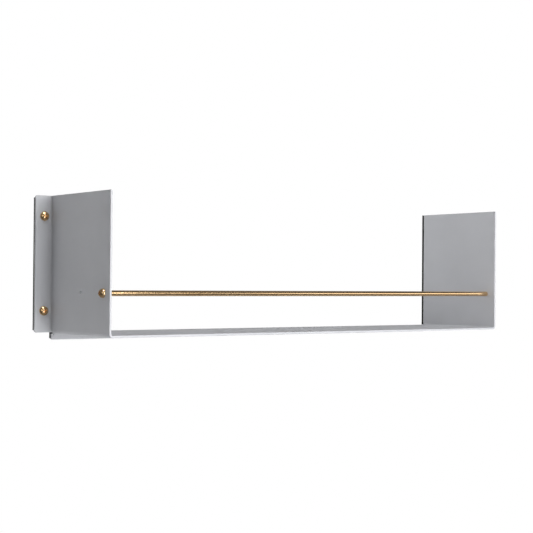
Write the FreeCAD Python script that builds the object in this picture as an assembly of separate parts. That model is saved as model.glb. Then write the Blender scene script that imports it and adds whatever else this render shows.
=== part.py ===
import FreeCAD, Part
import math
import os

# A wall shelf folded from one painted steel sheet, with a round brass rail across its open front.
#
# The wall is the plane Y = 0 and the shelf stands out from it towards -Y. X runs along the wall and
# Z is up. The origin lies on the wall, in the middle of the four wall fixings. The pieces are drawn
# with Z = 0 at the underside of the floor, and each is lowered to the origin's level as it is written.
#
# One sheet makes the floor, the two side panels, a wall flange bent outwards at the rear edge of each
# panel, and a stiffening lip bent down at the rear edge of the floor. Four wood screws go through the
# flanges into the wall, and two machine screws hold the rail between the panels.

# Driving dimensions of the folded sheet, in millimetres.
SHEET = 2.0
BOX_WIDTH = 560.0
HEIGHT = 150.0
DEPTH = 132.0
FLANGE_WIDTH = 19.0
FLANGE_BOTTOM = 1.0
LIP_DROP = 7.0
BEND_INSIDE = 2.0
FLANGE_CORNER = 2.5
LIP_CORNER = 1.5
PANEL_CORNER = 0.6
RELIEF_SLOT = 1.0
LIP_EAR_GAP = 1.5
LIP_END_GAP = 1.0

# The rail and its screws.
RAIL_DIAMETER = 6.0
RAIL_SETBACK = 14.0
RAIL_HEIGHT = 45.0
RAIL_END_ROUNDING = 0.8
RAIL_THREAD = 4.0
RAIL_THREAD_DEPTH = 12.0
RAIL_SCREW_LENGTH = 12.0
RAIL_SCREW_CHAMFER = 0.6
RAIL_SCREW_HEAD = 10.0
RAIL_SCREW_HEAD_HEIGHT = 5.0
RAIL_HOLE = 4.3

# The wall fixings.
WALL_HOLE_OUTBOARD = 8.5
WALL_HOLE_SPACING = 103.0
WALL_HOLE_MIDDLE = 76.0
WALL_HOLE = 5.5
WALL_SCREW_THREAD = 5.0
WALL_SCREW_LENGTH = 40.0
WALL_SCREW_HEAD = 10.4
WALL_SCREW_HEAD_HEIGHT = 4.0
WALL_SCREW_NECK = 3.6
WALL_SCREW_NECK_LENGTH = 2.2
WALL_SCREW_POINT = 7.0
WALL_SCREW_TIP = 0.4

# All six screws have round heads of one style, and the same cross recess.
HEAD_RIM = 0.5
HEAD_EDGE = 2.4
RECESS_WIDTH = 5.6
RECESS_FLOOR_WIDTH = 2.2
RECESS_WING = 1.2
RECESS_DEPTH = 2.4
RECESS_CORE = 1.3
RECESS_CLEARANCE = 1.0

# The small hole that the sheet is hung by while it is painted, one in each panel.
HANGING_HOLE = 3.0
HANGING_HOLE_SETBACK = 62.0

DRILL_POINT_ANGLE = 118.0

# Places that follow from them.
BEND_OUTSIDE = BEND_INSIDE + SHEET
HALF_WIDTH = BOX_WIDTH / 2
INNER_HALF_WIDTH = HALF_WIDTH - SHEET
RAIL_Y = RAIL_SETBACK - DEPTH
HANGING_HOLE_Y = HANGING_HOLE_SETBACK - DEPTH
WALL_HOLE_X = HALF_WIDTH + WALL_HOLE_OUTBOARD
WALL_HOLE_LEVELS = {
    "upper": WALL_HOLE_MIDDLE + WALL_HOLE_SPACING / 2,
    "lower": WALL_HOLE_MIDDLE - WALL_HOLE_SPACING / 2,
}
SIDES = {"left": -1, "right": 1}

ORIGIN = FreeCAD.Vector(0, 0, 0)
X_AXIS = FreeCAD.Vector(1, 0, 0)
Y_AXIS = FreeCAD.Vector(0, 1, 0)
Z_AXIS = FreeCAD.Vector(0, 0, 1)


def rounded_wire(corners, place):
    """A closed wire through corners (u, v, radius), each rounded by a tangent arc where radius > 0.
    place turns (u, v) into a point in space."""
    flat = [FreeCAD.Vector(u, v, 0) for u, v, _ in corners]
    stops = []
    for i, (_, _, radius) in enumerate(corners):
        here = flat[i]
        before = (flat[i - 1] - here).normalize()
        after = (flat[(i + 1) % len(flat)] - here).normalize()
        if radius == 0:
            stops.append((here, None, here))
            continue
        half = before.getAngle(after) / 2
        reach = radius / math.tan(half)
        bisector = (before + after).normalize()
        middle = here + bisector * (radius / math.sin(half) - radius)
        stops.append((here + before * reach, middle, here + after * reach))

    def put(point):
        return place(point.x, point.y)

    edges = []
    for i, (start, middle, end) in enumerate(stops):
        if middle is not None:
            edges.append(Part.Arc(put(start), put(middle), put(end)).toShape())
        following = stops[(i + 1) % len(stops)][0]
        if (following - end).Length > 1e-6:
            edges.append(Part.LineSegment(put(end), put(following)).toShape())
    return Part.Wire(edges)


def bar(corners, place, travel):
    """The solid that a rounded outline sweeps along the vector travel."""
    return Part.Face(rounded_wire(corners, place)).extrude(travel)


def rod_along(axis, start, length, diameter):
    """A cylinder from the point start, along the unit vector axis."""
    return Part.makeCylinder(diameter / 2, length, start, axis)


def trough():
    """The floor and the two side panels up to where the rear bends begin."""
    corners = [
        (-HALF_WIDTH, HEIGHT, 0),
        (-HALF_WIDTH, 0, BEND_OUTSIDE),
        (HALF_WIDTH, 0, BEND_OUTSIDE),
        (HALF_WIDTH, HEIGHT, 0),
        (INNER_HALF_WIDTH, HEIGHT, 0),
        (INNER_HALF_WIDTH, SHEET, BEND_INSIDE),
        (-INNER_HALF_WIDTH, SHEET, BEND_INSIDE),
        (-INNER_HALF_WIDTH, HEIGHT, 0),
    ]
    return bar(
        corners,
        lambda x, z: FreeCAD.Vector(x, -DEPTH, z),
        Y_AXIS * (DEPTH - BEND_OUTSIDE),
    )


def softened_front(shape):
    """Rounds the front top corner of each side panel."""
    corners = [
        edge
        for edge in shape.Edges
        if edge.BoundBox.XLength > SHEET / 2
        and edge.BoundBox.YMax < -DEPTH + SHEET / 2
        and edge.BoundBox.ZMin > HEIGHT - SHEET / 2
    ]
    return shape.makeFillet(PANEL_CORNER, corners)


def wall_flange(side):
    """The bend at the rear of one side panel and the flange beyond it, flat against the wall."""
    outer = side * HALF_WIDTH
    inner = side * INNER_HALF_WIDTH
    edge = side * (HALF_WIDTH + FLANGE_WIDTH)
    overlap = -BEND_OUTSIDE - SHEET
    bend = [
        (inner, overlap, 0),
        (inner, 0, BEND_OUTSIDE),
        (edge, 0, 0),
        (edge, -SHEET, 0),
        (outer, -SHEET, BEND_INSIDE),
        (outer, overlap, 0),
    ]
    strip = bar(
        bend,
        lambda x, y: FreeCAD.Vector(x, y, FLANGE_BOTTOM),
        Z_AXIS * (HEIGHT - FLANGE_BOTTOM),
    )
    outline = [
        (inner, FLANGE_BOTTOM, 0),
        (inner, HEIGHT, 0),
        (edge, HEIGHT, FLANGE_CORNER),
        (edge, FLANGE_BOTTOM, FLANGE_CORNER),
    ]
    blank = bar(outline, lambda x, z: FreeCAD.Vector(x, overlap, z), Y_AXIS * -overlap)
    return strip.common(blank)


def rear_lip():
    """The bend along the rear of the floor and the lip below it. The lip's two ears reach nearly as
    far as the panels' outer faces, and a slot cuts each one free of the bend."""
    overlap = -BEND_OUTSIDE - SHEET
    bend_half_width = HALF_WIDTH - BEND_OUTSIDE
    ear_inside = bend_half_width + RELIEF_SLOT
    ear_outside = HALF_WIDTH - LIP_END_GAP
    bend = [
        (overlap, SHEET, 0),
        (0, SHEET, BEND_OUTSIDE),
        (0, -LIP_DROP, 0),
        (-SHEET, -LIP_DROP, 0),
        (-SHEET, 0, BEND_INSIDE),
        (overlap, 0, 0),
    ]
    fold = bar(
        bend,
        lambda y, z: FreeCAD.Vector(-bend_half_width, y, z),
        X_AXIS * 2 * bend_half_width,
    )
    ear_top = FLANGE_BOTTOM - LIP_EAR_GAP
    plate = [
        (-ear_outside, -LIP_DROP, LIP_CORNER),
        (ear_outside, -LIP_DROP, LIP_CORNER),
        (ear_outside, ear_top, 0),
        (ear_inside, ear_top, 0),
        (ear_inside, -BEND_INSIDE, 0),
        (-ear_inside, -BEND_INSIDE, 0),
        (-ear_inside, ear_top, 0),
        (-ear_outside, ear_top, 0),
    ]
    return fold.fuse(
        bar(plate, lambda x, z: FreeCAD.Vector(x, -SHEET, z), Y_AXIS * SHEET)
    )


def shelf_body():
    """The whole folded sheet with its holes."""
    pieces = [wall_flange(side) for side in SIDES.values()] + [rear_lip()]
    sheet = softened_front(trough()).fuse(pieces).removeSplitter()
    drills = []
    for side in SIDES.values():
        for level in WALL_HOLE_LEVELS.values():
            start = FreeCAD.Vector(side * WALL_HOLE_X, -2 * SHEET, level)
            drills.append(rod_along(Y_AXIS, start, 3 * SHEET, WALL_HOLE))
        panel_inside = side * (INNER_HALF_WIDTH - SHEET)
        for y, diameter in ((RAIL_Y, RAIL_HOLE), (HANGING_HOLE_Y, HANGING_HOLE)):
            start = FreeCAD.Vector(panel_inside, y, RAIL_HEIGHT)
            drills.append(rod_along(X_AXIS * side, start, 3 * SHEET, diameter))
    return sheet.cut(drills)


def front_rail():
    """The brass rod, with rounded rims and a tapped hole in each end."""
    start = FreeCAD.Vector(-INNER_HALF_WIDTH, RAIL_Y, RAIL_HEIGHT)
    length = 2 * INNER_HALF_WIDTH
    rod = rod_along(X_AXIS, start, length, RAIL_DIAMETER)
    rims = [edge for edge in rod.Edges if edge.BoundBox.XLength < 1e-3]
    rod = rod.makeFillet(RAIL_END_ROUNDING, rims)
    point = RAIL_THREAD / 2 / math.tan(math.radians(DRILL_POINT_ANGLE / 2))
    for side in SIDES.values():
        mouth = FreeCAD.Vector(side * INNER_HALF_WIDTH, RAIL_Y, RAIL_HEIGHT)
        inwards = X_AXIS * -side
        hole = rod_along(inwards, mouth, RAIL_THREAD_DEPTH, RAIL_THREAD)
        bottom = mouth + inwards * RAIL_THREAD_DEPTH
        rod = rod.cut([hole, Part.makeCone(RAIL_THREAD / 2, 0, point, bottom, inwards)])
    return rod


def cross_recess(crown):
    """The tool that sinks a cross recess into the top of a head whose crown is at Z = crown."""
    slope = (RECESS_WIDTH - RECESS_FLOOR_WIDTH) / 2 / RECESS_DEPTH
    top_half = RECESS_WIDTH / 2 + slope * RECESS_CLEARANCE
    ceiling = crown + RECESS_CLEARANCE
    floor = crown - RECESS_DEPTH
    wing = [
        (-top_half, ceiling, 0),
        (-RECESS_FLOOR_WIDTH / 2, floor, 0),
        (RECESS_FLOOR_WIDTH / 2, floor, 0),
        (top_half, ceiling, 0),
    ]
    blade = bar(
        wing, lambda x, z: FreeCAD.Vector(x, -RECESS_WING / 2, z), Y_AXIS * RECESS_WING
    )
    crossing = blade.copy()
    crossing.rotate(ORIGIN, Z_AXIS, 90)
    core = Part.makeCone(
        RECESS_CORE / 2, RECESS_WIDTH / 2, ceiling - floor, Z_AXIS * floor, Z_AXIS
    )
    return blade.fuse([crossing, core])


def round_head(diameter, height):
    """A head standing on Z = 0: a low straight rim, a rounded edge that runs on into a dome, and a
    cross recess."""
    radius = diameter / 2
    rise = height - HEAD_RIM
    crown_radius = (radius**2 - 2 * radius * HEAD_EDGE + rise**2) / (rise - HEAD_EDGE) / 2
    crown_centre = Z_AXIS * (height - crown_radius)
    edge_centre = FreeCAD.Vector(radius - HEAD_EDGE, 0, HEAD_RIM)
    lean = math.asin(edge_centre.x / (crown_radius - HEAD_EDGE))

    def on_arc(centre, arc_radius, angle):
        """The point of an arc at an angle from its top."""
        around = FreeCAD.Vector(math.sin(angle), 0, math.cos(angle))
        return centre + around * arc_radius

    shoulder = on_arc(edge_centre, HEAD_EDGE, math.pi / 2)
    edge_middle = on_arc(edge_centre, HEAD_EDGE, (math.pi / 2 + lean) / 2)
    joint = on_arc(crown_centre, crown_radius, lean)
    crown_middle = on_arc(crown_centre, crown_radius, lean / 2)
    top = Z_AXIS * height
    edges = [
        Part.LineSegment(ORIGIN, X_AXIS * radius).toShape(),
        Part.LineSegment(X_AXIS * radius, shoulder).toShape(),
        Part.Arc(shoulder, edge_middle, joint).toShape(),
        Part.Arc(joint, crown_middle, top).toShape(),
        Part.LineSegment(top, ORIGIN).toShape(),
    ]
    dome = Part.Face(Part.Wire(edges)).revolve(ORIGIN, Z_AXIS, 360)
    return dome.cut(cross_recess(height))


def shank(diameter, start, end, point, tip):
    """A shank that points down from Z = -start to Z = -end, as thick as the crests of its thread. It
    narrows to the diameter tip over the length point."""
    body = rod_along(Z_AXIS * -1, Z_AXIS * -start, end - start - point, diameter)
    narrowing = Part.makeCone(
        diameter / 2, tip / 2, point, Z_AXIS * (point - end), Z_AXIS * -1
    )
    return body.fuse(narrowing)


def rail_screw(side):
    """One rail screw, through a side panel into the end of the rail. Its recess stands at 45 degrees."""
    tip = RAIL_THREAD - 2 * RAIL_SCREW_CHAMFER
    thread = shank(RAIL_THREAD, 0, RAIL_SCREW_LENGTH, RAIL_SCREW_CHAMFER, tip)
    made = round_head(RAIL_SCREW_HEAD, RAIL_SCREW_HEAD_HEIGHT).fuse(thread)
    made.rotate(ORIGIN, Z_AXIS, 45)
    made.rotate(ORIGIN, Y_AXIS, 90 * side)
    made.translate(FreeCAD.Vector(side * HALF_WIDTH, RAIL_Y, RAIL_HEIGHT))
    return made


def wall_screw(side, level):
    """One wall screw, through a flange and into the wall. Its thread stops short of the head and
    leaves a thinner neck where the flange is."""
    neck = rod_along(Z_AXIS * -1, ORIGIN, WALL_SCREW_NECK_LENGTH, WALL_SCREW_NECK)
    thread = shank(
        WALL_SCREW_THREAD,
        WALL_SCREW_NECK_LENGTH,
        WALL_SCREW_LENGTH,
        WALL_SCREW_POINT,
        WALL_SCREW_TIP,
    )
    made = round_head(WALL_SCREW_HEAD, WALL_SCREW_HEAD_HEIGHT).fuse([neck, thread])
    made.rotate(ORIGIN, X_AXIS, 90)
    made.translate(FreeCAD.Vector(side * WALL_HOLE_X, -SHEET, level))
    return made


def write(name, shape):
    """Lowers one piece to the origin's level and writes it. It has to be a single closed solid."""
    if len(shape.Solids) != 1 or not shape.isValid():
        raise ValueError(f"{name} is {len(shape.Solids)} solids, or not a valid one")
    solid = shape.Solids[0]
    solid.translate(Z_AXIS * -WALL_HOLE_MIDDLE)
    solid.exportStep(f"parts/{name}.step")
    print(f"{name}: {solid.Volume:.0f} mm3, {solid.BoundBox}")


os.makedirs("parts", exist_ok=True)
write("shelf_body", shelf_body())
write("front_rail", front_rail())
for side_name, side_sign in SIDES.items():
    write(f"rail_screw_{side_name}", rail_screw(side_sign))
    for level_name, level_height in WALL_HOLE_LEVELS.items():
        write(f"wall_screw_{side_name}_{level_name}", wall_screw(side_sign, level_height))
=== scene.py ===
import math

import bmesh
import bpy
from mathutils import Matrix, Vector

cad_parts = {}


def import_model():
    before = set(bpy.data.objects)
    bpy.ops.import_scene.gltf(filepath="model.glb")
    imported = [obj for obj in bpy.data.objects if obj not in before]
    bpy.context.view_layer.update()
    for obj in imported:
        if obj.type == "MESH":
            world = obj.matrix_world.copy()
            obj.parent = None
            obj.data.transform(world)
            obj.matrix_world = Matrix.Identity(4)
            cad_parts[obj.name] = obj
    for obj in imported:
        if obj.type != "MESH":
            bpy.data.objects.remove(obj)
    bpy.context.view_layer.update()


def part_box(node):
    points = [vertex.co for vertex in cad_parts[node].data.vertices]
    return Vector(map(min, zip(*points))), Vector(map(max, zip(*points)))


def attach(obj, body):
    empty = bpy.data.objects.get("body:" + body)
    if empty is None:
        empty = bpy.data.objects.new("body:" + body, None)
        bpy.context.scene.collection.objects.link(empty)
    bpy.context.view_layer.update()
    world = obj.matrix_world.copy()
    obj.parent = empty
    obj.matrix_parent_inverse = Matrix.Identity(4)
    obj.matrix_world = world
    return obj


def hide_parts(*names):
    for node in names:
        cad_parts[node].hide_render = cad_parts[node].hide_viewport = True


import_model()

# ---------------------------------------------------------------------------------------------------
# Sizes. Places come from the frame's own boxes; these are the sizes that a box doesn't tell. Metres.
MM = 0.001
SHEET = 2.0 * MM
BEND_INSIDE = 2.0 * MM
BEND_MIDDLE = BEND_INSIDE + SHEET / 2
BEND_OUTSIDE = BEND_INSIDE + SHEET
BEND_STEPS = 10
FLANGE_CORNER = 2.5 * MM
LIP_DROP = 7.0 * MM
LIP_CORNER = 1.5 * MM
FLANGE_LIFT = 1.0 * MM
EAR_DROP = 0.5 * MM
RELIEF_SLOT = 1.0 * MM
LIP_END_GAP = 1.0 * MM
CORNER_STEPS = 8
SLIT_STEPS = 3
EDGE_ROUNDING = 0.28 * MM
SHARP_ANGLE = math.radians(38)

WALL_HOLE = 5.5 * MM
RAIL_HOLE = 4.3 * MM
HANGING_HOLE = 3.0 * MM
HANGING_HOLE_SETBACK = 62.0 * MM

SHEET_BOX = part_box("shelf_body")
RAIL_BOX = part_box("front_rail")
TOP = SHEET_BOX[1].z
FRONT = SHEET_BOX[0].y
UNDERSIDE = SHEET_BOX[0].z + LIP_DROP
HALF_RAIL = RAIL_BOX[1].x
HALF_WIDTH = HALF_RAIL + SHEET
FLANGE_EDGE = SHEET_BOX[1].x
RAIL_CENTRE = (RAIL_BOX[0] + RAIL_BOX[1]) / 2
RAIL_RADIUS = (RAIL_BOX[1].z - RAIL_BOX[0].z) / 2


def node_centre(node):
    low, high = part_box(node)
    return (low + high) / 2


# ---------------------------------------------------------------------------------------------------
# Mesh helpers.
def link(name, mesh):
    made = bpy.data.objects.new(name, mesh)
    bpy.context.scene.collection.objects.link(made)
    return made


def mesh_of(name, build):
    """A new mesh from the bmesh that build(bm) fills."""
    bm = bmesh.new()
    build(bm)
    bmesh.ops.recalc_face_normals(bm, faces=bm.faces)
    mesh = bpy.data.meshes.new(name)
    bm.to_mesh(mesh)
    bm.free()
    return mesh


def settled(obj):
    """Bakes an object's modifiers into its mesh."""
    bpy.context.view_layer.update()
    graph = bpy.context.evaluated_depsgraph_get()
    baked = bpy.data.meshes.new_from_object(obj.evaluated_get(graph))
    obj.modifiers.clear()
    obj.data = baked
    return obj


def boolean(obj, other, operation):
    """Cuts other from obj or joins it on, and removes other."""
    modifier = obj.modifiers.new("boolean", "BOOLEAN")
    modifier.operation = operation
    modifier.solver = "EXACT"
    modifier.object = other
    settled(obj)
    bpy.data.objects.remove(other)
    return obj


def soften(obj, width, segments=3):
    """Rounds every sharp edge, then shades the mesh so that its flats stay flat."""
    bevel = obj.modifiers.new("edge_rounding", "BEVEL")
    bevel.width = width
    bevel.segments = segments
    bevel.limit_method = "ANGLE"
    bevel.angle_limit = SHARP_ANGLE
    bevel.use_clamp_overlap = True
    settled(obj)
    return shade(obj)


def shade(obj):
    obj.data.shade_smooth()
    weighted = obj.modifiers.new("flat_shading", "WEIGHTED_NORMAL")
    weighted.keep_sharp = True
    weighted.weight = 90
    return settled(obj)


def arc(centre, radius, start, end, steps):
    """Points of an arc between two angles in degrees, both ends included."""
    points = []
    for i in range(steps + 1):
        angle = math.radians(start + (end - start) * i / steps)
        points.append((centre[0] + radius * math.cos(angle), centre[1] + radius * math.sin(angle)))
    return points


class Surface:
    """A surface built face by face, whose faces share the corners that fall together."""

    def __init__(self, bm):
        self.bm = bm
        self.corners = {}

    def corner(self, point):
        key = tuple(round(value * 1e7) for value in point)
        if key not in self.corners:
            self.corners[key] = self.bm.verts.new(point)
        return self.corners[key]

    def face(self, points):
        self.bm.faces.new(list(dict.fromkeys(self.corner(point) for point in points)))


def lathe(bm, profile, steps):
    """Turns a closed profile of (radius, height) about Z. Points on the axis become single corners."""
    rings = []
    for radius, height in profile:
        if radius == 0:
            rings.append([bm.verts.new((0, 0, height))])
            continue
        ring = []
        for i in range(steps):
            angle = 2 * math.pi * i / steps
            ring.append(bm.verts.new((radius * math.cos(angle), radius * math.sin(angle), height)))
        rings.append(ring)
    join_rings(bm, rings, steps)


def join_rings(bm, rings, steps):
    for lower, upper in zip(rings, rings[1:]):
        for i in range(steps):
            j = (i + 1) % steps
            around = [lower[i % len(lower)], lower[j % len(lower)]]
            around += [upper[j % len(upper)], upper[i % len(upper)]]
            corners = list(dict.fromkeys(around))
            if len(corners) > 2:
                bm.faces.new(corners)


def drill(start, axis, length, diameter):
    """A throwaway cylinder to cut a hole with."""

    def build(bm):
        lathe(bm, [(0, 0), (diameter / 2, 0), (diameter / 2, length), (0, length)], 64)

    tool = link("drill", mesh_of("drill", build))
    tool.matrix_world = Matrix.Translation(start) @ axis.to_track_quat("Z", "Y").to_matrix().to_4x4()
    return tool


# ---------------------------------------------------------------------------------------------------
# The folded sheet.
def trough_line():
    """The middle line of the trough's section as (x, z), from the left panel's top to the right's."""
    side = HALF_WIDTH - SHEET / 2
    turn = HALF_WIDTH - BEND_OUTSIDE
    level = UNDERSIDE + BEND_OUTSIDE
    left = arc((-turn, level), BEND_MIDDLE, 180, 270, BEND_STEPS)
    right = arc((turn, level), BEND_MIDDLE, 270, 360, BEND_STEPS)
    return [(-side, TOP)] + left + right + [(side, TOP)]


def add_trough(surface):
    line = trough_line()
    for (x0, z0), (x1, z1) in zip(line, line[1:]):
        surface.face([(x0, FRONT, z0), (x1, FRONT, z1), (x1, -BEND_OUTSIDE, z1), (x0, -BEND_OUTSIDE, z0)])


def add_flange(surface, side):
    """A wall flange. Its bend joins the panel above the trough's own bend and is slit free below it."""
    turn = HALF_WIDTH + BEND_INSIDE
    bend = [
        (side * (turn - (x - turn)), y)
        for x, y in arc((turn, -BEND_OUTSIDE), BEND_MIDDLE, 0, 90, BEND_STEPS)
    ]
    low = UNDERSIDE + FLANGE_LIFT
    joined = UNDERSIDE + BEND_OUTSIDE
    for i, ((x0, y0), (x1, y1)) in enumerate(zip(bend, bend[1:])):
        surface.face([(x0, y0, joined), (x1, y1, joined), (x1, y1, TOP), (x0, y0, TOP)])
        if i >= SLIT_STEPS:
            surface.face([(x0, y0, low), (x1, y1, low), (x1, y1, joined), (x0, y0, joined)])
    y = -SHEET / 2
    inner = side * turn
    reach = FLANGE_EDGE - FLANGE_CORNER
    upper = arc((reach, TOP - FLANGE_CORNER), FLANGE_CORNER, 90, 0, CORNER_STEPS)
    lower = arc((reach, low + FLANGE_CORNER), FLANGE_CORNER, 0, -90, CORNER_STEPS)
    rim = [(side * x, y, z) for x, z in upper + lower]
    surface.face([(inner, y, low), (inner, y, joined), (inner, y, TOP)] + rim)


def add_lip(surface):
    """The lip under the floor's rear edge, with an ear at each end that a slot cuts free of the bend."""
    turn = HALF_WIDTH - BEND_OUTSIDE
    bend_low = UNDERSIDE - BEND_INSIDE
    bend = arc((-BEND_OUTSIDE, bend_low), BEND_MIDDLE, 90, 0, BEND_STEPS)
    for (y0, z0), (y1, z1) in zip(bend, bend[1:]):
        surface.face([(-turn, y0, z0), (turn, y0, z0), (turn, y1, z1), (-turn, y1, z1)])
    y = -SHEET / 2
    bottom = UNDERSIDE - LIP_DROP
    slot = turn + RELIEF_SLOT
    ear_top = UNDERSIDE - EAR_DROP
    surface.face([(-turn, y, bend_low), (turn, y, bend_low), (turn, y, bottom), (-turn, y, bottom)])
    end = HALF_WIDTH - LIP_END_GAP
    for side in (-1, 1):
        rim = arc((end - LIP_CORNER, bottom + LIP_CORNER), LIP_CORNER, 0, -90, CORNER_STEPS)
        ear = [(slot, bend_low), (slot, ear_top), (end, ear_top)] + rim
        band = [(turn, bottom), (turn, bend_low)]
        surface.face([(side * x, y, z) for x, z in ear + band])


def add_whole_sheet(bm):
    surface = Surface(bm)
    add_trough(surface)
    add_lip(surface)
    for side in (-1, 1):
        add_flange(surface, side)


def folded_sheet():
    sheet = link("folded_sheet", mesh_of("folded_sheet", add_whole_sheet))
    thickness = sheet.modifiers.new("thickness", "SOLIDIFY")
    thickness.thickness = SHEET
    thickness.offset = 0
    thickness.use_even_offset = True
    thickness.use_quality_normals = True
    settled(sheet)
    for side in (-1, 1):
        panel = Vector((side * (HALF_WIDTH - 2 * SHEET), 0, RAIL_CENTRE.z))
        outwards = Vector((side, 0, 0))
        for y, diameter in (
            (RAIL_CENTRE.y, RAIL_HOLE),
            (FRONT + HANGING_HOLE_SETBACK, HANGING_HOLE),
        ):
            boolean(sheet, drill(panel + Vector((0, y, 0)), outwards, 3 * SHEET, diameter), "DIFFERENCE")
    for node in WALL_SCREWS:
        centre = node_centre(node)
        start = Vector((centre.x, -2 * SHEET, centre.z))
        boolean(sheet, drill(start, Vector((0, 1, 0)), 3 * SHEET, WALL_HOLE), "DIFFERENCE")
    return soften(sheet, EDGE_ROUNDING)


# ---------------------------------------------------------------------------------------------------
# The rail and the screws.
RAIL_END_ROUNDING = 0.8 * MM
RAIL_RIM_STEPS = 6
RAIL_BORE_RADIUS = 2.0 * MM
RAIL_BORE_DEPTH = 12.0 * MM
RAIL_DRILL_POINT = 1.2 * MM

WALL_SCREWS = [
    f"wall_screw_{side}_{level}" for side in ("left", "right") for level in ("upper", "lower")
]
RAIL_SCREWS = ["rail_screw_left", "rail_screw_right"]
HEAD_RIM = 0.5 * MM
HEAD_EDGE = 2.4 * MM
RECESS_WIDTH = 5.6 * MM
RECESS_FLOOR_WIDTH = 2.2 * MM
RECESS_WING = 1.2 * MM
RECESS_DEPTH = 2.4 * MM
RECESS_CLEARANCE = 1.0 * MM
RECESS_FLOOR_HALF_WING = RECESS_WING * 0.4
RECESS_MOUTH_HALF_WING = RECESS_WING * 0.6
HEAD_STEPS = 8
HEAD_SOFTENING = 0.12 * MM
ROUND_STEPS = 64
THREAD_STEPS = 48
THREAD_ROWS = 14
THREAD_RIDGE = 0.34
THREAD_NECK = 0.25
THREAD_TIP = 0.02 * MM
THREAD_TAPER = 0.8
THREAD_ROOT = 0.6 * MM

WALL_SCREW_HEAD = 10.4 * MM
WALL_SCREW_HEAD_HEIGHT = 4.0 * MM
RAIL_SCREW_HEAD = 10.0 * MM
RAIL_SCREW_HEAD_HEIGHT = 5.0 * MM
RAIL_SCREW_LEAN = 45


def brass_rail():
    """The rod, with rounded rims and a drilled bore in each end."""
    end = HALF_RAIL
    corner = (end - RAIL_END_ROUNDING, RAIL_RADIUS - RAIL_END_ROUNDING)
    rim = arc(corner, RAIL_END_ROUNDING, 0, 90, RAIL_RIM_STEPS)
    bottom = end - RAIL_BORE_DEPTH
    half = [(0, bottom - RAIL_DRILL_POINT), (RAIL_BORE_RADIUS, bottom), (RAIL_BORE_RADIUS, end)]
    half += [(radius, height) for height, radius in rim]
    profile = [(radius, -height) for radius, height in half]
    profile += [(radius, height) for radius, height in reversed(half)]
    rail = link("brass_rail", mesh_of("brass_rail", lambda bm: lathe(bm, profile, ROUND_STEPS)))
    rail.matrix_world = Matrix.Translation(RAIL_CENTRE) @ Matrix.Rotation(math.radians(90), 4, "Y")
    return shade(rail)


def head_profile(radius, height):
    """The section of a round head: a low straight rim and a rounded edge that runs on into a dome."""
    rise = height - HEAD_RIM
    crown = (radius**2 - 2 * radius * HEAD_EDGE + rise**2) / (rise - HEAD_EDGE) / 2
    lean = math.degrees(math.asin((radius - HEAD_EDGE) / (crown - HEAD_EDGE)))
    edge = arc((radius - HEAD_EDGE, HEAD_RIM), HEAD_EDGE, 0, 90 - lean, HEAD_STEPS)
    dome = arc((0, height - crown), crown, 90 - lean, 90, HEAD_STEPS)
    return [(0, 0), (radius, 0)] + edge + dome[1:-1] + [(0, height)]


def recess_blade(crown, turn):
    """One tapered blade of the tool that sinks the cross recess into a head of the height crown."""
    slope = (RECESS_WIDTH - RECESS_FLOOR_WIDTH) / 2 / RECESS_DEPTH
    mouth_half = RECESS_WIDTH / 2 + slope * RECESS_CLEARANCE
    floor = (RECESS_FLOOR_WIDTH / 2, crown - RECESS_DEPTH, RECESS_FLOOR_HALF_WING)
    mouth = (mouth_half, crown + RECESS_CLEARANCE, RECESS_MOUTH_HALF_WING)

    def build(bm):
        verts = []
        for half, height, across in (floor, mouth):
            for x, y in ((-half, -across), (half, -across), (half, across), (-half, across)):
                verts.append(bm.verts.new(Matrix.Rotation(turn, 3, "Z") @ Vector((x, y, height))))
        bm.faces.new(verts[:4])
        bm.faces.new(verts[4:])
        for i in range(4):
            j = (i + 1) % 4
            bm.faces.new([verts[i], verts[j], verts[j + 4], verts[i + 4]])

    return link("recess", mesh_of("recess", build))


class Thread:
    """A screw's shank with its thread, as a radius that winds round it. The shank hangs from Z = 0, and
    its root reaches a little way into the head."""

    def __init__(self, crest, core, pitch, neck, length, point):
        self.crest = crest
        self.core = core
        self.pitch = pitch
        self.neck = neck
        self.length = length
        self.point = point

    def radius(self, depth, turn):
        """How thick the shank is at a depth and a share of a turn."""
        to_tip = min(1.0, (self.length - depth) / self.point)
        run_in = max(0.0, min(1.0, (depth - self.neck) / (self.pitch / 2)))
        phase = (depth / self.pitch - turn) % 1.0
        ridge = max(0.0, 1.0 - abs(phase - 0.5) / THREAD_RIDGE)
        plain = self.core + (self.crest - self.core) * THREAD_NECK * (1 - run_in)
        return (plain + (self.crest - plain) * ridge * run_in) * to_tip**THREAD_TAPER + THREAD_TIP

    def build(self, bm):
        step = self.pitch / THREAD_ROWS
        rows = int(self.length / step)
        rings = [[bm.verts.new((0, 0, THREAD_ROOT))]]
        for row in [-1] + list(range(rows)):
            depth = max(0.0, row * step)
            height = THREAD_ROOT if row < 0 else -depth
            ring = []
            for i in range(THREAD_STEPS):
                turn = i / THREAD_STEPS
                radius = self.radius(depth, turn)
                angle = 2 * math.pi * turn
                ring.append(bm.verts.new((radius * math.cos(angle), radius * math.sin(angle), height)))
            rings.append(ring)
        rings.append([bm.verts.new((0, 0, -self.length))])
        join_rings(bm, rings, THREAD_STEPS)


def screw_mesh(name, diameter, height, thread):
    """A screw along Z, its head standing on Z = 0 and its shank below."""
    profile = head_profile(diameter / 2, height)
    head = link(name, mesh_of(name, lambda bm: lathe(bm, profile, ROUND_STEPS)))
    for turn in (0, math.pi / 2):
        boolean(head, recess_blade(height, turn), "DIFFERENCE")
    soften(head, HEAD_SOFTENING, 2)
    boolean(head, link("shank", mesh_of("shank", thread.build)), "UNION")
    head.data.shade_smooth()
    mesh = head.data
    bpy.data.objects.remove(head)
    return mesh


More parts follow.
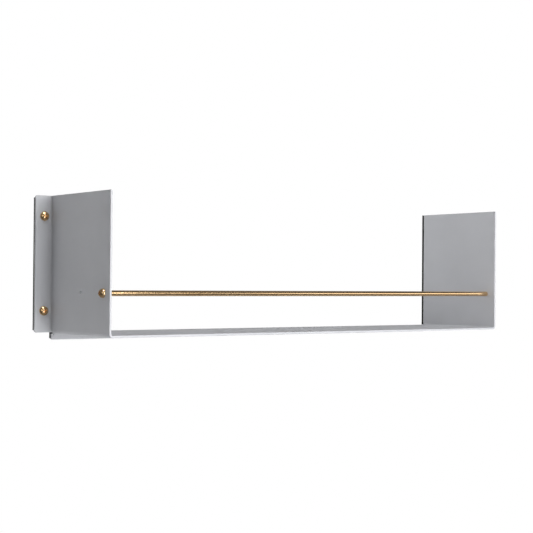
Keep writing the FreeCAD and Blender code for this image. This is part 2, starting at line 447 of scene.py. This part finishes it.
# ---------------------------------------------------------------------------------------------------
# Materials.
PAINT_DARK = (0.376, 0.382, 0.402)
PAINT_LIGHT = (0.404, 0.410, 0.431)
BRASS_DARK = (0.74, 0.49, 0.25)
BRASS_LIGHT = (0.82, 0.58, 0.33)


def node_setup(name):
    material = bpy.data.materials.new(name)
    material.use_nodes = True
    tree = material.node_tree
    return material, tree.nodes, tree.links, tree.nodes["Principled BSDF"]


def noise(nodes, links, vector, scale, detail, roughness=0.5):
    texture = nodes.new("ShaderNodeTexNoise")
    texture.inputs["Scale"].default_value = scale
    texture.inputs["Detail"].default_value = detail
    texture.inputs["Roughness"].default_value = roughness
    links.new(vector, texture.inputs["Vector"])
    return texture.outputs["Fac"]


def stretched(nodes, links, scale):
    """Object coordinates scaled differently along each axis."""
    coordinates = nodes.new("ShaderNodeTexCoord")
    mapping = nodes.new("ShaderNodeMapping")
    mapping.inputs["Scale"].default_value = scale
    links.new(coordinates.outputs["Object"], mapping.inputs["Vector"])
    return mapping.outputs["Vector"]


def ramp(nodes, links, value, low, high, start=0.3, end=0.7):
    """Maps a noise value to a colour between low and high."""
    made = nodes.new("ShaderNodeValToRGB")
    made.color_ramp.elements[0].position = start
    made.color_ramp.elements[0].color = (*low, 1)
    made.color_ramp.elements[1].position = end
    made.color_ramp.elements[1].color = (*high, 1)
    links.new(value, made.inputs["Fac"])
    return made.outputs["Color"]


def spread(nodes, links, value, low, high):
    """Maps a noise value to a number between low and high."""
    made = nodes.new("ShaderNodeMapRange")
    made.inputs["From Min"].default_value = 0.3
    made.inputs["From Max"].default_value = 0.7
    made.inputs["To Min"].default_value = low
    made.inputs["To Max"].default_value = high
    links.new(value, made.inputs["Value"])
    return made.outputs["Result"]


def bump(nodes, links, height, distance, strength, below=None):
    made = nodes.new("ShaderNodeBump")
    made.inputs["Distance"].default_value = distance
    made.inputs["Strength"].default_value = strength
    links.new(height, made.inputs["Height"])
    if below is not None:
        links.new(below, made.inputs["Normal"])
    return made.outputs["Normal"]


def powder_coat():
    """Satin grey powder coat: fine grain over a soft orange peel, with slight unevenness in tone."""
    material, nodes, links, shader = node_setup("grey_powder_coat")
    even = stretched(nodes, links, (1, 1, 1))
    tone = noise(nodes, links, even, 14, 3)
    links.new(ramp(nodes, links, tone, PAINT_DARK, PAINT_LIGHT), shader.inputs["Base Color"])
    sheen = noise(nodes, links, even, 60, 4)
    links.new(spread(nodes, links, sheen, 0.40, 0.50), shader.inputs["Roughness"])
    peel = noise(nodes, links, even, 650, 2)
    grain = noise(nodes, links, even, 2600, 2)
    first = bump(nodes, links, peel, 0.00006, 0.5)
    links.new(bump(nodes, links, grain, 0.00002, 0.5, first), shader.inputs["Normal"])
    shader.inputs["IOR"].default_value = 1.5
    return material


def drawn_brass():
    """The rail's brass, drawn along its length, so that its marks run along the rod."""
    material, nodes, links, shader = node_setup("drawn_brass")
    lines = stretched(nodes, links, (900, 900, 9))
    clouds = stretched(nodes, links, (1, 1, 0.35))
    tone = noise(nodes, links, clouds, 40, 4)
    links.new(ramp(nodes, links, tone, BRASS_DARK, BRASS_LIGHT), shader.inputs["Base Color"])
    marks = noise(nodes, links, lines, 2, 3)
    links.new(spread(nodes, links, marks, 0.18, 0.24), shader.inputs["Roughness"])
    links.new(bump(nodes, links, marks, 0.000002, 0.2), shader.inputs["Normal"])
    shader.inputs["Metallic"].default_value = 1
    return material


def turned_brass():
    """The screws' brass, with faint rings from the lathe and a slightly uneven tone."""
    material, nodes, links, shader = node_setup("turned_brass")
    even = stretched(nodes, links, (1, 1, 1))
    tone = noise(nodes, links, even, 260, 4)
    links.new(ramp(nodes, links, tone, BRASS_DARK, BRASS_LIGHT), shader.inputs["Base Color"])
    rings = nodes.new("ShaderNodeTexWave")
    rings.wave_type = "RINGS"
    rings.rings_direction = "Z"
    rings.inputs["Scale"].default_value = 900
    rings.inputs["Distortion"].default_value = 1.5
    rings.inputs["Detail"].default_value = 2
    links.new(even, rings.inputs["Vector"])
    links.new(spread(nodes, links, tone, 0.16, 0.28), shader.inputs["Roughness"])
    links.new(bump(nodes, links, rings.outputs["Fac"], 0.00001, 0.35), shader.inputs["Normal"])
    shader.inputs["Metallic"].default_value = 1
    return material


# ---------------------------------------------------------------------------------------------------
# The stage: camera, lights, wall and floor.
CAMERA_PLACE = (-0.9112, -1.2463, -0.0184)
CAMERA_YAW = -36.601
CAMERA_PITCH = 0.714
CAMERA_ROLL = -0.475
CAMERA_LENS = 85.107
SENSOR = 36.0

SOFTBOX_DISTANCE = 1.7
SOFTBOX_SIZE = 0.8
BACK_DISTANCE = 4.0
BACK_SIZE = 1.0
WORLD_IN_GLOSS = 0.1

FLOOR_LEVEL = -1.0
FLOOR_HALF = 6.0
FLOOR_TONE = 0.85
WALL_HALF = 2.5
WALL_TOP = 2.0
WALL_GAP = 0.3 * MM
WALL_GLOW = 1.0
WALL_TONE = 0.75
STAGE_IN_GLOSS = 0.15
# The shadow strips are painted shadows: dark patches on the wall where the shelf's edges shade it. No
# light casts them.
SHADOW_WIDTH = 1.3 * MM
BEND_SHADOW_WIDTH = 4.8 * MM
SHADOW_TONE = 0.02


def camera():
    data = bpy.data.cameras.new("camera")
    data.lens = CAMERA_LENS
    data.sensor_width = SENSOR
    data.clip_start = 0.01
    data.clip_end = 50
    made = bpy.data.objects.new("camera", data)
    bpy.context.scene.collection.objects.link(made)
    yaw = Matrix.Rotation(math.radians(CAMERA_YAW), 4, "Z")
    pitch = Matrix.Rotation(math.radians(CAMERA_PITCH), 4, "X")
    roll = Matrix.Rotation(math.radians(CAMERA_ROLL), 4, "Y")
    level = Matrix.Rotation(math.radians(90), 4, "X")
    made.matrix_world = Matrix.Translation(CAMERA_PLACE) @ yaw @ pitch @ roll @ level
    bpy.context.scene.camera = made


def softbox(name, azimuth, elevation, distance, size, power):
    """A square area light aimed at the shelf. Azimuth 0 is in front of it and 90 to its right."""
    data = bpy.data.lights.new(name, "AREA")
    data.shape = "SQUARE"
    data.size = size
    data.energy = power
    made = bpy.data.objects.new(name, data)
    bpy.context.scene.collection.objects.link(made)
    a = math.radians(azimuth)
    e = math.radians(elevation)
    towards = Vector((math.sin(a) * math.cos(e), -math.cos(a) * math.cos(e), math.sin(e)))
    made.matrix_world = (
        Matrix.Translation(towards * distance) @ towards.to_track_quat("Z", "Y").to_matrix().to_4x4()
    )
    made.visible_camera = False


def world(in_gloss):
    """White where the camera sees it, and a dim grey where something glossy reflects it. It lights
    nothing else."""
    made = bpy.data.worlds.new("studio")
    bpy.context.scene.world = made
    made.use_nodes = True
    nodes = made.node_tree.nodes
    links = made.node_tree.links
    path = nodes.new("ShaderNodeLightPath")
    dim = nodes.new("ShaderNodeMath")
    dim.operation = "MULTIPLY"
    dim.inputs[1].default_value = in_gloss
    links.new(path.outputs["Is Glossy Ray"], dim.inputs[0])
    total = nodes.new("ShaderNodeMath")
    total.operation = "ADD"
    links.new(path.outputs["Is Camera Ray"], total.inputs[0])
    links.new(dim.outputs["Value"], total.inputs[1])
    links.new(total.outputs["Value"], nodes["Background"].inputs["Strength"])
    nodes["Background"].inputs["Color"].default_value = (1, 1, 1, 1)


def lay_floor():
    """A plain pale floor, well below the shelf."""

    def build(bm):
        corners = ((-1, -1), (1, -1), (1, 1), (-1, 1))
        bm.faces.new([bm.verts.new((x * FLOOR_HALF, y * FLOOR_HALF, FLOOR_LEVEL)) for x, y in corners])

    floor = link("floor", mesh_of("floor", build))
    floor.data.materials.append(facing_surface("pale_floor", FLOOR_TONE, FLOOR_TONE, STAGE_IN_GLOSS))


def facing_surface(name, glow, tone, in_gloss):
    """A matt surface seen only from its front, where the camera sees it at the fixed tone glow. It
    passes light on at one tone, shows in glossy reflections at another, and casts no shadow."""
    material = bpy.data.materials.new(name)
    material.use_nodes = True
    nodes = material.node_tree.nodes
    links = material.node_tree.links
    nodes.clear()
    path = nodes.new("ShaderNodeLightPath")
    geometry = nodes.new("ShaderNodeNewGeometry")

    def toned(kind, value):
        made = nodes.new(kind)
        made.inputs["Color"].default_value = (value, value, value, 1)
        return made.outputs[0]

    def mix(factor, without, with_it):
        made = nodes.new("ShaderNodeMixShader")
        links.new(factor, made.inputs["Fac"])
        links.new(without, made.inputs[1])
        links.new(with_it, made.inputs[2])
        return made.outputs["Shader"]

    clear = toned("ShaderNodeBsdfTransparent", 1)
    surface = mix(
        path.outputs["Is Glossy Ray"],
        toned("ShaderNodeBsdfDiffuse", tone),
        toned("ShaderNodeBsdfDiffuse", in_gloss),
    )
    surface = mix(path.outputs["Is Camera Ray"], surface, toned("ShaderNodeEmission", glow))
    surface = mix(path.outputs["Is Shadow Ray"], surface, clear)
    surface = mix(geometry.outputs["Backfacing"], surface, clear)
    out = nodes.new("ShaderNodeOutputMaterial")
    links.new(surface, out.inputs["Surface"])
    return material


def wall_patch(name, left, right, low, high, gap, material):
    """An upright rectangle just behind the shelf that faces the room."""

    def build(bm):
        corners = ((left, low), (right, low), (right, high), (left, high))
        bm.faces.new([bm.verts.new((x, gap, z)) for x, z in corners])

    mesh = mesh_of(name, build)
    if mesh.polygons[0].normal.y > 0:
        mesh.flip_normals()
    patch = link(name, mesh)
    patch.data.materials.append(material)


def hang_wall():
    """The white wall, and thin dark strips on it: painted shadows along the shelf's upright edges. The
    lip's strip also paints shade into the slot beside the lip."""
    white = facing_surface("white_wall", WALL_GLOW, WALL_TONE, STAGE_IN_GLOSS)
    wall_patch("wall", -WALL_HALF, WALL_HALF, FLOOR_LEVEL, WALL_TOP, WALL_GAP, white)
    dark = facing_surface("edge_shadow", SHADOW_TONE, SHADOW_TONE, SHADOW_TONE)
    low = UNDERSIDE + FLANGE_LIFT
    lip = HALF_WIDTH - LIP_END_GAP
    crevice = HALF_WIDTH + SHEET
    slot = HALF_WIDTH - BEND_OUTSIDE
    lip_bottom = UNDERSIDE - LIP_DROP + LIP_CORNER
    strips = {
        "flange_shadow": (
            -FLANGE_EDGE - SHADOW_WIDTH,
            -FLANGE_EDGE,
            low + FLANGE_CORNER,
            TOP - FLANGE_CORNER,
        ),
        "lip_shadow": (-lip - SHADOW_WIDTH, -slot, lip_bottom, low),
        "bend_shadow": (crevice - BEND_SHADOW_WIDTH, crevice, UNDERSIDE + SHEET, TOP),
    }
    for name, (left, right, bottom, top) in strips.items():
        wall_patch(name, left, right, bottom, top, WALL_GAP / 2, dark)


# ---------------------------------------------------------------------------------------------------
# Putting it together.
def place(piece, material, node):
    piece.data.materials.clear()
    piece.data.materials.append(material)
    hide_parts(node)
    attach(piece, "root")


def place_screws(nodes, mesh, material, lean):
    """Puts one screw at each node, its head outwards and its recess leaning by an angle."""
    for node in nodes:
        centre = node_centre(node)
        screw = link("brass_" + node, mesh)
        if node in RAIL_SCREWS:
            side = math.copysign(1, centre.x)
            seat = Vector((side * HALF_WIDTH, centre.y, centre.z))
            outwards = Vector((side, 0, 0))
        else:
            seat = Vector((centre.x, -SHEET, centre.z))
            outwards = Vector((0, -1, 0))
        turn = outwards.to_track_quat("Z", "Y").to_matrix().to_4x4()
        spin = Matrix.Rotation(math.radians(lean), 4, "Z")
        screw.matrix_world = Matrix.Translation(seat) @ turn @ spin
        place(screw, material, node)


bpy.context.scene.view_settings.view_transform = "Standard"
camera()
world(WORLD_IN_GLOSS)
softbox("key", 4, 12, SOFTBOX_DISTANCE, SOFTBOX_SIZE, 21.5)
softbox("key_low", 0, -12, SOFTBOX_DISTANCE, SOFTBOX_SIZE, 17)
softbox("bounce_from_below", -20, -40, SOFTBOX_DISTANCE, SOFTBOX_SIZE, 2)
softbox("top_left", -20, 60, SOFTBOX_DISTANCE, SOFTBOX_SIZE, 12.5)
softbox("left", -45, 10, SOFTBOX_DISTANCE, SOFTBOX_SIZE, 2)
softbox("right", 45, 0, SOFTBOX_DISTANCE, SOFTBOX_SIZE, 3.4)
softbox("back", 180, 0, BACK_DISTANCE, BACK_SIZE, 30)
lay_floor()
hang_wall()

place(folded_sheet(), powder_coat(), "shelf_body")
place(brass_rail(), drawn_brass(), "front_rail")
screw_brass = turned_brass()
wood_thread = Thread(
    crest=2.45 * MM, core=1.6 * MM, pitch=2.2 * MM, neck=2.2 * MM, length=40 * MM, point=7 * MM
)
machine_thread = Thread(
    crest=1.95 * MM, core=1.6 * MM, pitch=0.7 * MM, neck=0.7 * MM, length=12 * MM, point=0.5 * MM
)
wall_screw = screw_mesh("wall_screw", WALL_SCREW_HEAD, WALL_SCREW_HEAD_HEIGHT, wood_thread)
rail_screw = screw_mesh("rail_screw", RAIL_SCREW_HEAD, RAIL_SCREW_HEAD_HEIGHT, machine_thread)
place_screws(WALL_SCREWS, wall_screw, screw_brass, 0)
place_screws(RAIL_SCREWS, rail_screw, screw_brass, RAIL_SCREW_LEAN)
